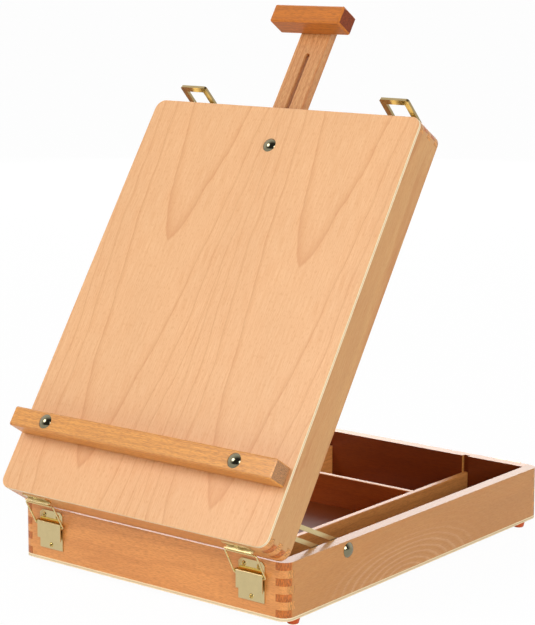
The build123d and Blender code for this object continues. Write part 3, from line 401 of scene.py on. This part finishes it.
def veneered_ply(name, in_lid, inner=None, coat=0.25):
    """Beech plywood with sliced veneer and a layered edge; the lid's panel shows two matched leaves."""
    material, tree, shader = new_material(name)
    face, line, edge = colours().veneer, colours().veneer_line, colours().ply_edge
    normal, board, back = board_coords(tree, in_lid, False)
    parts = add_node(tree, "ShaderNodeSeparateXYZ", {0: board}).outputs
    second = calc(tree, "GREATER_THAN", parts[0], LEAF_JOINT)
    across = calc(tree, "ADD", calc(tree, "MULTIPLY_ADD", second, -LEAF_PITCH, parts[0]), LEAF_HEART)
    up = calc(tree, "MULTIPLY_ADD", second, LEAF_DROP, parts[1])
    leaf = add_node(tree, "ShaderNodeCombineXYZ", {0: across, 1: up}).outputs[0]
    broad = noise(tree, leaf, LEAF_BROAD)
    tone = mix(tree, broad, rgba(face, 1.09), rgba(face, 0.97))
    if in_lid:
        for lines in arch_lines(tree, across, up, broad, noise(tree, leaf, LEAF_CLOSE)):
            tone = mix(tree, lines, tone, rgba(line))
    # Fibres 1 mm wide and pores nearly as wide, both broken along their length
    fibre = noise(tree, leaf, LEAF_FIBRES, detail=4.0)
    tone = mix(tree, ranged(tree, fibre, (0.36, 0.66), (0.0, 0.34)), tone, rgba(line, 1.15))
    pores = ranged(tree, noise(tree, leaf, LEAF_PORES, detail=1.0), (0.56, 0.7), (0.0, 0.34))
    tone = mix(tree, pores, tone, rgba(line, 1.05))
    # Painted shade on the face that looks into the case
    if inner:
        tone = shaded(tree, normal, tone, inner)
    # Three plies of one millimetre show as cream, tan and cream at the edge
    low = sizes().lid_wall if in_lid else 0.0
    layers = ranged(tree, parts[2], (low / MM, (low + sizes().ply) / MM))
    plies = ramp(tree, layers, [
        (0.0, rgba(edge)), (0.3, rgba(edge)), (0.34, rgba(edge, 0.7)), (0.64, rgba(edge, 0.8)), (0.68, rgba(edge))
    ])
    flat = calc(tree, "ABSOLUTE", vector_calc(tree, "DOT_PRODUCT", normal, back @ Vector((0, 0, 1))))
    plug(tree, shader, {
        "Base Color": mix(tree, ranged(tree, flat, (0.85, 0.6)), tone, plies),
        "Normal": relief(tree, fibre, 0.3, 0.04),
        "Roughness": 0.46,
        "IOR": 1.5 if coat else 1.3,
        "Coat Weight": coat,
        "Coat Roughness": 0.3,
    })
    return material


def plated_steel(name, colour, roughness, clouds):
    """Plated steel sheet or wire: bright metal with faint clouds of tarnish and fine drawing marks."""
    material, tree, shader = new_material(name)
    grid = millimetres(tree)[1]
    haze = noise(tree, grid, scale=1 / 6, detail=3.0)
    marks = noise(tree, grid, DRAWN_MARKS)
    plug(tree, shader, {
        "Base Color": mix(tree, haze, rgba(colour, 1.0 + clouds), rgba(colour, 1.0 - clouds)),
        "Roughness": ranged(tree, marks, (0, 1), (roughness * 0.75, roughness * 1.3)),
        "Normal": relief(tree, marks, 0.15, 0.02),
        "Metallic": 1.0,
    })
    return material


def foot_rubber(name, colour):
    """Moulded rubber, slightly translucent at its edge, with a fine matt skin."""
    material, tree, shader = new_material(name)
    skin = noise(tree, millimetres(tree)[1], scale=1.5)
    plug(tree, shader, {
        "Base Color": mix(tree, skin, rgba(colour, 1.15), rgba(colour, 0.85)),
        "Normal": relief(tree, skin, 0.2, 0.05),
        "Roughness": 0.45,
        "Subsurface Weight": 0.15,
        "Subsurface Radius": (0.004, 0.0016, 0.0006),
        "Subsurface Scale": 1.0,
    })
    return material


def dress(node, material, edge=0.0):
    """Gives a solid its material and slot, and softens its edges by a small bevel in millimetres."""
    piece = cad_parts[node]
    piece.data.materials.clear()
    piece.data.materials.append(material)
    if edge:
        weld = piece.modifiers.new("Weld", "WELD")
        weld.merge_threshold = 0.002 * MM
        bevel = piece.modifiers.new("Edge", "BEVEL")
        bevel.width = edge * MM
        bevel.segments = 2
        bevel.limit_method = "ANGLE"
        bevel.angle_limit = math.radians(50)


def dress_wall(half, side, heart, seed, look, inner=None):
    """Gives a wall of the base or of the lid a board of its own."""
    node = f"{half}_{side}_wall"
    along_y = side in ("left", "right")
    material = solid_beech(
        f"lacquered_beech_{node}", half == "lid", along_y, heart, inner=inner, seed=seed, **look
    )
    dress(node, material, 0.25)


def seat(in_lid, point, outward):
    """Place of a fastener: a point of a case half in millimetres, with the fastener's own Z outward."""
    half = (lid_turn().inverted() if in_lid else Matrix.Identity(3)).to_4x4()
    half.translation = half_origin(in_lid)
    turn = Vector(outward).to_track_quat("Z", "Y").to_matrix().to_4x4()
    return half @ Matrix.Translation(Vector(point) * MM) @ turn @ Matrix.Scale(MM, 4)


def seats(in_lid, point, outward):
    """Places of a fastener on both sides of the case, mirrored about its middle."""
    (x, y, z), (across, back, up) = point, outward
    return [seat(in_lid, (side * x, y, z), (side * across, back, up)) for side in SIDES]


def only(kind, items):
    """The vertices, edges or faces among what a bmesh operator returns."""
    return [item for item in items if isinstance(item, kind)]


def each(items):
    """The items in their order and once each, where a set would deal them out anew in every run."""
    return list(dict.fromkeys(items))


def turned(shape, corners):
    """Spins an outline, given as radius and height, once round Z."""
    made = [shape.verts.new((radius, 0, height)) for radius, height in corners]
    made += [shape.edges.new(pair) for pair in zip(made, made[1:])]
    bmesh.ops.spin(
        shape, geom=made, cent=(0, 0, 0), axis=(0, 0, 1), angle=math.tau, steps=40, use_merge=True
    )


def ball_radius(radius, height):
    """Radius of the ball whose cap is as wide and high as given."""
    return (radius ** 2 + height ** 2) / (2 * height)


def dome(shape, radius, height, rim):
    """Cap of a ball on a rim, as wide and high as given; returns its open edge."""
    ball = ball_radius(radius, height)
    made = bmesh.ops.create_uvsphere(shape, u_segments=48, v_segments=64, radius=ball)["verts"]
    bmesh.ops.translate(shape, vec=(0, 0, height - ball + rim), verts=made)
    whole = each(item for vert in made for group in (vert.link_edges, vert.link_faces) for item in group) + made
    cut = bmesh.ops.bisect_plane(
        shape, geom=whole, plane_co=(0, 0, rim), plane_no=(0, 0, 1), clear_inner=True, dist=1e-5
    )
    return only(EDGE, cut["geom_cut"])


def threads(start, end, radius, pitch):
    """Profile of a screw thread as closed rings: its turns are too fine to show as one helix."""
    count = int(abs(end - start) / pitch)
    step = (end - start) / count
    return [
        corner for turn in range(count)
        for corner in ((radius - 0.3, start + turn * step), (radius, start + (turn + 0.5) * step))
    ] + [(radius - 0.5, end)]


def drawn_out(shape, loop, profile):
    """Extrudes a round open edge along a profile of radius and height, and closes its far end."""
    for radius, height in profile:
        grown = bmesh.ops.extrude_edge_only(shape, edges=loop)["geom"]
        fresh = set(only(VERT, grown))
        for vert in fresh:
            vert.co = (vert.co.to_2d().normalized() * radius).to_3d() + Vector((0, 0, height))
        loop = [edge for edge in only(EDGE, grown) if fresh.issuperset(edge.verts)]
    bmesh.ops.edgeloop_fill(shape, edges=loop)


def set_down(shape, places):
    """Copies the shape made so far to each place."""
    first = shape.verts[:]
    whole = first + shape.edges[:] + shape.faces[:]
    for place in places[1:]:
        copy = bmesh.ops.duplicate(shape, geom=whole)["geom"]
        bmesh.ops.transform(shape, matrix=place, verts=only(VERT, copy))
    bmesh.ops.transform(shape, matrix=places[0], verts=first)


def new_object(name, data):
    """Makes an object in the scene."""
    made = bpy.data.objects.new(name, data)
    bpy.context.scene.collection.objects.link(made)
    return made


def finished(shape, name, body, node, material):
    """Makes an object from a shape, with its finish, on its body, in the place of the node it stands for."""
    bmesh.ops.remove_doubles(shape, verts=shape.verts, dist=1e-6)
    bmesh.ops.recalc_face_normals(shape, faces=shape.faces)
    mesh = bpy.data.meshes.new(name)
    shape.to_mesh(mesh)
    shape.free()
    mesh.shade_smooth()
    mesh.set_sharp_from_angle(angle=math.radians(38))
    mesh.materials.append(material)
    piece = new_object(name, mesh)
    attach(piece, body)
    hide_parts(node)


def dome_bolts(body, node, places, length, material):
    """Dome-headed bolts, as long as given under the head, with a thin flat rim and a rolled thread."""
    shape = bmesh.new()
    rim = dome(shape, HEAD_RADIUS, HEAD_HEIGHT, HEAD_RIM)
    plain = -0.6 * length
    profile = [
        (HEAD_RADIUS, HEAD_RIM - 0.02), (HEAD_RADIUS, 0.05), (HEAD_RADIUS - 0.07, 0),
        (THREAD_RADIUS, 0), (THREAD_RADIUS, plain),
    ]
    drawn_out(shape, rim, profile + threads(plain, -length, THREAD_RADIUS, THREAD_PITCH))
    set_down(shape, places)
    finished(shape, f"{node}_polished", body, node, material)


def clamp_nuts(body, node, places, material):
    """Washers with chamfered hexagon nuts on them."""
    shape = bmesh.new()
    bore, outer, height = WASHER_BORE, WASHER_RADIUS, WASHER_HEIGHT
    turned(shape, [
        (bore, 0), (outer - 0.15, 0), (outer, 0.15), (outer, height - 0.2), (outer - 0.2, height),
        (bore, height), (bore, 0),
    ])
    wide = NUT_FLAT / math.cos(math.radians(30))
    hexagon = bmesh.ops.create_circle(shape, segments=6, radius=wide)["verts"]
    hole = bmesh.ops.create_circle(shape, segments=36, radius=NUT_BORE)["verts"]
    bmesh.ops.translate(shape, vec=(0, 0, height), verts=hexagon + hole)
    border = each(edge for vert in hexagon + hole for edge in vert.link_edges)
    flat = only(FACE, bmesh.ops.triangle_fill(shape, edges=border, use_beauty=True)["geom"])
    top = only(VERT, bmesh.ops.extrude_face_region(shape, geom=flat, use_keep_orig=True)["geom"])
    bmesh.ops.translate(shape, vec=(0, 0, NUT_HEIGHT), verts=top)
    # Only the level edges between the hexagon's corners are chamfered
    corners = [vert for vert in hexagon + top if vert.co.to_2d().length > NUT_FLAT]
    ends = each(
        edge for vert in corners for edge in vert.link_edges
        if edge.other_vert(vert) in corners and abs(edge.other_vert(vert).co.z - vert.co.z) < 0.1
    )
    bmesh.ops.bevel(
        shape, geom=ends, offset=NUT_CHAMFER, offset_type="OFFSET", segments=2, profile=0.5, affect="EDGES",
        material=-1,
    )
    set_down(shape, places)
    finished(shape, f"{node}_chamfered", body, node, material)


def cross_screws(body, node, places, material, head=4.6, height=1.3, length=7.5, shank=2.4):
    """Round-headed wood screws with a cross recess that narrows towards its bottom."""
    shape = bmesh.new()
    rim = bmesh.ops.create_circle(shape, segments=40, radius=head / 2)["verts"]
    arm, half, narrowing, bottom = head * 0.29, head * 0.075, 0.62, 0.25 * height
    corners = [(arm, -half), (arm, half), (half, half)]
    recess = []
    for quarter in range(4):
        spun = Matrix.Rotation(quarter * math.pi / 2, 3, "Z")
        recess += [shape.verts.new(spun @ Vector((x, y, 0))) for x, y in corners]
    for pair in zip(recess, recess[1:] + recess[:1]):
        shape.edges.new(pair)
    border = each(edge for vert in rim + recess for edge in vert.link_edges)
    bmesh.ops.triangle_fill(shape, edges=border, use_beauty=True)
    bmesh.ops.subdivide_edges(shape, edges=shape.edges[:], cuts=1, use_grid_fill=True)
    ball = ball_radius(head / 2, height)
    for vert in shape.verts:
        vert.co.z = height - ball + math.sqrt(max(ball ** 2 - vert.co.to_2d().length_squared, 0))
    open_edges = [edge for edge in shape.edges if edge.is_boundary]
    recess_edge = [edge for edge in open_edges if edge.verts[0].co.to_2d().length < head * 0.4]
    rim_edge = [edge for edge in open_edges if edge not in recess_edge]
    wall = bmesh.ops.extrude_edge_only(shape, edges=recess_edge)["geom"]
    for vert in only(VERT, wall):
        vert.co = Vector((vert.co.x * narrowing, vert.co.y * narrowing, bottom))
    bmesh.ops.edgeloop_fill(shape, edges=[edge for edge in only(EDGE, wall) if edge.is_boundary])
    profile = [(shank / 2, 0), (shank / 2, -1)] + threads(-1, -length, shank / 2, SCREW_PITCH)
    drawn_out(shape, rim_edge, profile)
    set_down(shape, places)
    finished(shape, f"{node}_cross", body, node, material)


def bent_wire(node, place, material):
    """Wire bail: straight runs and quarter bends from one turned-in end to the other."""
    radius, bend, half, rise, end = 0.8, 1.7, 16.8, 26.4, 13.0
    shape = bmesh.new()
    tip = bmesh.ops.create_circle(shape, segments=20, radius=radius, cap_ends=True)["verts"]
    bmesh.ops.transform(shape, matrix=Matrix.Rotation(math.pi / 2, 4, "Y"), verts=tip)
    bmesh.ops.translate(shape, vec=(-end, 0, 0), verts=tip)
    loop = each(edge for vert in tip for edge in vert.link_edges if edge.is_boundary)

    def run(loop, shift):
        grown = bmesh.ops.extrude_edge_only(shape, edges=loop)["geom"]
        fresh = only(VERT, grown)
        bmesh.ops.translate(shape, vec=shift, verts=fresh)
        return [edge for edge in only(EDGE, grown) if set(fresh).issuperset(edge.verts)]

    def curve(loop, centre):
        bent = bmesh.ops.spin(
            shape, geom=loop, cent=centre, axis=(0, 0, 1), angle=-math.pi / 2, steps=8, use_merge=False
        )
        return only(EDGE, bent["geom_last"])

    turned_in = (-(half - end - bend), 0, 0)
    path = (
        (turned_in, (-half + bend, bend, 0)),
        ((0, rise - 2 * bend, 0), (-half + bend, rise - bend, 0)),
        ((2 * (half - bend), 0, 0), (half - bend, rise - bend, 0)),
        ((0, 2 * bend - rise, 0), (half - bend, bend, 0)),
    )
    for shift, centre in path:
        loop = curve(run(loop, shift), centre)
    bmesh.ops.edgeloop_fill(shape, edges=run(loop, turned_in))
    bmesh.ops.transform(shape, matrix=place, verts=shape.verts)
    finished(shape, f"{node}_wire", node, node, material)


def seen_rays(tree, path):
    """1 for rays from the camera, a gloss or a glass, else 0."""
    seen = calc(tree, "MAXIMUM", path["Is Camera Ray"], path["Is Glossy Ray"])
    return calc(tree, "MAXIMUM", seen, path["Is Transmission Ray"])


def lay_floor():
    """Wide pale floor that keeps the object's shadow and is white for what sees or mirrors it."""
    mesh = bpy.data.meshes.new("floor")
    shape = bmesh.new()
    bmesh.ops.create_circle(shape, cap_ends=True, segments=64, radius=FLOOR_RADIUS)
    shape.to_mesh(mesh)
    shape.free()
    floor = new_object("floor", mesh)
    material, tree, shader = new_material("pale_paper_floor")
    plug(tree, shader, {"Base Color": rgba(colours().floor), "Roughness": 0.9, "Specular IOR Level": 0.1})
    path = add_node(tree, "ShaderNodeLightPath").outputs
    # Lacquer mirrors less of the floor than a camera sees
    level = ranged(tree, path["Is Camera Ray"], (0, 1), (FLOOR_MIRRORED, 1.0))
    glow = add_node(tree, "ShaderNodeEmission", {"Color": WHITE, "Strength": level})
    share = calc(tree, "MULTIPLY", seen_rays(tree, path), FLOOR_GLOW)
    both = add_node(tree, "ShaderNodeMixShader", {0: share, 1: shader.outputs[0], 2: glow.outputs[0]})
    output = next(node for node in tree.nodes if node.type == "OUTPUT_MATERIAL")
    plug(tree, output, {"Surface": both.outputs[0]})
    mesh.materials.append(material)


def light_world(scene):
    """Soft light from all round, and a white background with a dark side for mirrors."""
    world = bpy.data.worlds.new("studio")
    scene.world = world
    world.use_nodes = True
    tree = world.node_tree
    tree.nodes.clear()
    path = add_node(tree, "ShaderNodeLightPath").outputs
    soft = add_node(tree, "ShaderNodeBackground", {"Color": WHITE, "Strength": AMBIENT})
    # Polished metal mirrors the dark side of the studio, where the photographer stands
    direction = add_node(tree, "ShaderNodeTexCoord").outputs["Generated"]
    mirrored = ranged(tree, vector_calc(tree, "DOT_PRODUCT", direction, DARK_SIDE), DARK_EDGES, DARK_LEVELS)
    level = calc(tree, "MAXIMUM", mirrored, path["Is Camera Ray"])
    plain = add_node(tree, "ShaderNodeBackground", {"Color": WHITE, "Strength": level})
    both = {0: seen_rays(tree, path), 1: soft.outputs[0], 2: plain.outputs[0]}
    add_node(tree, "ShaderNodeOutputWorld", {"Surface": add_node(tree, "ShaderNodeMixShader", both).outputs[0]})


def hang_lamps():
    """Round lamps about the easel, aimed at it."""
    for name, place, size, power in LAMPS:
        lamp = bpy.data.lights.new(name, "AREA")
        lamp.shape = "DISK"
        lamp.size = size
        lamp.energy = power
        holder = new_object(name, lamp)
        holder.location = place
        holder.rotation_euler = (Vector(LAMPS_AIM) - Vector(place)).to_track_quat("-Z", "Y").to_euler()
        holder.visible_camera = False


def place_camera(scene):
    """The camera of the photograph."""
    camera = bpy.data.cameras.new("camera")
    camera.sensor_fit = "VERTICAL"
    camera.sensor_height = SENSOR_HEIGHT
    camera.lens = FOCAL_LENGTH * SENSOR_HEIGHT / IMAGE_HEIGHT
    camera.shift_x = (IMAGE_WIDTH / 2 - CENTRE_X) / IMAGE_HEIGHT
    camera.shift_y = (CENTRE_Y - IMAGE_HEIGHT / 2) / IMAGE_HEIGHT
    camera.clip_end = 200
    right, up = Vector(CAMERA_RIGHT), -Vector(CAMERA_DOWN)
    turn = Matrix((right, up, right.cross(up))).transposed().to_4x4()
    scene.camera = new_object("camera", camera)
    scene.camera.matrix_world = Matrix.Translation(Vector(CAMERA_PLACE) * MM) @ turn


class EASEL_OT_base_wood(bpy.types.Operator):
    """Dress the base's walls, bottom and tray dividers"""

    bl_idname = "easel.base_wood"
    bl_label = "Base wood"

    def execute(self, context):
        shade = colours()
        short = {"light": shade.beech, "end": shade.end_pale}
        long = {
            "light": shade.base_side, "end": shade.end_grain, "rings_tone": shade.pale_rings,
            "figure": 0.55, "draw": 0.3, "flecked": 0.25, "ends_from": ROUND_THE_CORNER,
        }
        # Side, heart of the trunk, seed of the bands, look, and where the wall's inner face looks
        walls = (
            ("front", (60, -58, 20), 1.3, short, (0, 1, 0)),
            ("rear", (-40, 470, 30), 4.7, short, (0, -1, 0)),
            ("left", (240, 149, -10), 7.9, long, (1, 0, 0)),
            ("right", (172, -149, 4), 2.2, long, (-1, 0, 0)),
        )
        # The walls' inner faces get painted shade, as the open lid shadows the inside
        for side, heart, seed, look, inward in walls:
            dress_wall("base", side, heart, seed, look, (inward, shade.inside))
        # Node, whether its grain runs from front to rear, and its face with painted shade
        dividers = (
            ("right_divider", True, None),
            ("left_divider", True, None),
            ("cross_divider", False, ((0, -1, 0), shade.divider_painted_shade)),
        )
        for node, along_y, inner in dividers:
            material = solid_beech(
                f"thin_beech_{node}", False, along_y, (150, 60, -40), shade.beech, shade.end_grain, inner
            )
            dress(node, material, 0.2)
        # The bottom's upper face gets painted shade too
        bottom = veneered_ply("bottom_plywood", False, ((0, 0, 1), shade.inside), coat=0.0)
        dress("base_panel", bottom, 0.3)
        return {"FINISHED"}


class EASEL_OT_lid_wood(bpy.types.Operator):
    """Dress the lid's walls and panel, the ledge, the mast and its head"""

    bl_idname = "easel.lid_wood"
    bl_label = "Lid wood"

    def execute(self, context):
        shade = colours()
        short = {"light": shade.beech, "end": shade.end_pale}
        long = {
            "light": shade.lid_side, "end": shade.end_grain,
            "figure": 0.5, "draw": 0.02, "flecked": 0.18, "ends_from": ROUND_THE_CORNER,
        }
        # Side, heart of the trunk, seed of the bands, look
        walls = (
            ("front", (20, -70, 10), 3.1, short),
            ("rear", (-30, 470, 16), 6.4, short),
            ("left", (120, 240, 16), 8.8, long),
            ("right", (180, 240, 60), 5.5, long),
        )
        for side, heart, seed, look in walls:
            dress_wall("lid", side, heart, seed, look)
        dress("lid_panel", veneered_ply("panel_plywood", True))
        ledge = solid_beech(
            "golden_beech_ledge", True, False, (40, 30, 80), shade.ledge, shade.ledge_end,
            figure=0.4, draw=0.03, flecked=0.5,
        )
        mast = solid_beech(
            "pale_beech_mast", True, True, (300, 60, -20), shade.mast, shade.end_grain,
            figure=0.6, draw=0.03, flecked=0.6, coat=0.2,
        )
        head = solid_beech(
            "red_beech_head", True, False, (30, 520, 0), shade.head, shade.head_end,
            figure=0.6, draw=0.03, flecked=0.7, coat=0.05,
        )
        for node, material in (("ledge", ledge), ("mast", mast), ("mast_head", head)):
            dress(node, material)
        return {"FINISHED"}


class EASEL_OT_metal(bpy.types.Operator):
    """Dress the catches, stays and fasteners"""

    bl_idname = "easel.metal"
    bl_label = "Metal"

    def execute(self, context):
        shade = colours()
        brass = plated_steel("brass_plated_steel", shade.brass, roughness=0.3, clouds=0.08)
        bright = plated_steel("bright_brass_plated_steel", shade.bright_brass, roughness=0.16, clouds=0.06)
        # A darker copy of the brass paints the rear loops' shade
        dark = plated_steel("shadowed_brass_plated_steel", shade.shadowed_brass, roughness=0.16, clouds=0.1)
        nickel = plated_steel("nickel_plated_steel", shade.nickel, roughness=0.16, clouds=0.04)
        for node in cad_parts:
            if "bracket" in node:
                dress(node, bright)
            elif "loop" in node:
                dress(node, dark)
            elif any(word in node for word in ("catch", "hook", "lever", "bail")) or node.endswith("_stay"):
                dress(node, brass)
            elif any(word in node for word in ("bolt", "nut", "washer", "screws")):
                dress(node, nickel)
        return {"FINISHED"}


class EASEL_OT_bolts(bpy.types.Operator):
    """Model the dome-headed bolts and their nuts"""

    bl_idname = "easel.bolts"
    bl_label = "Bolts"

    def execute(self, context):
        nickel = plated_steel("polished_nickel", colours().nickel, roughness=0.12, clouds=0.03)
        outside = seats(False, (CASE_WIDTH / 2, STAY_BOLT_Y, STAY_BOLT_Z), (1, 0, 0))
        above = seats(True, (LEDGE_BOLT_X, LEDGE_BOLT_Y, PANEL_TOP + LEDGE), (0, 0, 1))
        middle = [seat(True, (0, MAST_BOLT_Y, PANEL_TOP), (0, 0, 1))]
        dome_bolts("base", "stay_bolts", outside, 21.2, nickel)
        dome_bolts("lid", "ledge_bolts", above, 32.0, nickel)
        dome_bolts("lid", "mast_bolt", middle, 23.8, nickel)
        inside = seats(False, (STAY_NUT_X, STAY_BOLT_Y, STAY_BOLT_Z), (-1, 0, 0))
        below = seats(True, (LEDGE_BOLT_X, LEDGE_BOLT_Y, LID_WALL), (0, 0, -1))
        clamp_nuts("base", "stay_nuts", inside, nickel)
        clamp_nuts("lid", "ledge_nuts", below, nickel)
        return {"FINISHED"}


class EASEL_OT_screws(bpy.types.Operator):
    """Model the cross-recessed screws of the catches, the hooks and the head"""

    bl_idname = "easel.screws"
    bl_label = "Screws"

    def execute(self, context):
        brass = plated_steel("brassed_screw_steel", colours().screws, roughness=0.24, clouds=0.06)
        steel = plated_steel("zinc_screw_steel", colours().nickel, roughness=0.28, clouds=0.06)
        front, rear = (-CATCH_PLATE, -1), (CASE_LENGTH + CATCH_PLATE, 1)
        # Body, node, face with its outward direction, and holes across and up from the catch's middle
        screws = (
            ("base", "front_catch_screws", front, FRONT_CATCH_HOLES),
            ("lid", "front_hook_screws", front, FRONT_HOOK_HOLES),
            ("lid", "rear_catch_screws", rear, REAR_CATCH_HOLES),
            ("base", "rear_hook_screws", rear, REAR_HOOK_HOLES),
        )
        for body, node, (y, outward), holes in screws:
            places = [
                seat(body == "lid", (side * CATCH_X + x, y, z), (0, outward, 0))
                for side in SIDES for x, z in holes
            ]
            cross_screws(body, node, places, brass)
        under = seats(True, (HEAD_SCREW_X, HEAD_SCREW_Y, HEAD_SCREW_Z), (0, 0, -1))
        cross_screws("mast_unit", "head_screws", under, steel, length=20)
        return {"FINISHED"}


class EASEL_OT_bails(bpy.types.Operator):
    """Bend the wire bails of the front catches"""

    bl_idname = "easel.bails"
    bl_label = "Bails"

    def execute(self, context):
        wire = plated_steel("bright_brassed_wire", colours().wire, roughness=0.2, clouds=0.04)
        lean = Matrix.Rotation(BAIL_LEAN, 4, "X")
        pins = seats(False, (CATCH_X, BAIL_PIN_Y, BAIL_PIN_Z), (0, -1, 0))
        for word, pin in zip(("left", "right"), pins):
            bent_wire(f"{word}_front_bail", pin @ lean, wire)
        return {"FINISHED"}


class EASEL_OT_feet(bpy.types.Operator):
    """Dress the four rubber feet"""

    bl_idname = "easel.feet"
    bl_label = "Feet"

    def execute(self, context):
        dress("feet", foot_rubber("amber_rubber", colours().rubber))
        return {"FINISHED"}


class EASEL_OT_stage(bpy.types.Operator):
    """Set the floor, the light, the background and the camera"""

    bl_idname = "easel.stage"
    bl_label = "Stage"

    def execute(self, context):
        lay_floor()
        light_world(context.scene)
        hang_lamps()
        place_camera(context.scene)
        context.scene.view_settings.view_transform = "Standard"
        return {"FINISHED"}


STEPS = ("base_wood", "lid_wood", "metal", "bolts", "screws", "bails", "feet", "stage")


class EASEL_PT_panel(bpy.types.Panel):
    """Steps that dress the easel"""

    bl_label = "Box Easel"
    bl_idname = "EASEL_PT_panel"
    bl_space_type = "VIEW_3D"
    bl_region_type = "UI"
    bl_category = "Box Easel"

    def draw(self, context):
        for step in STEPS:
            self.layout.operator(f"easel.{step}")
        for group in (sizes(), colours()):
            for name in group.bl_rna.properties.keys():
                if name not in ("rna_type", "name"):
                    self.layout.prop(group, name)


CLASSES = (
    EASEL_PG_sizes,
    EASEL_PG_colours,
    EASEL_OT_base_wood,
    EASEL_OT_lid_wood,
    EASEL_OT_metal,
    EASEL_OT_bolts,
    EASEL_OT_screws,
    EASEL_OT_bails,
    EASEL_OT_feet,
    EASEL_OT_stage,
    EASEL_PT_panel,
)


def register():
    """Registers the classes and hangs the property groups on the scene."""
    for item in CLASSES:
        bpy.utils.register_class(item)
    bpy.types.Scene.easel_sizes = PointerProperty(type=EASEL_PG_sizes)
    bpy.types.Scene.easel_colours = PointerProperty(type=EASEL_PG_colours)


def unregister():
    """Takes the property groups and the classes away again."""
    del bpy.types.Scene.easel_colours
    del bpy.types.Scene.easel_sizes
    for item in reversed(CLASSES):
        bpy.utils.unregister_class(item)


def main():
    """Dresses the whole easel."""
    register()
    for step in STEPS:
        getattr(bpy.ops.easel, step)()


if __name__ == "__main__":
    main()
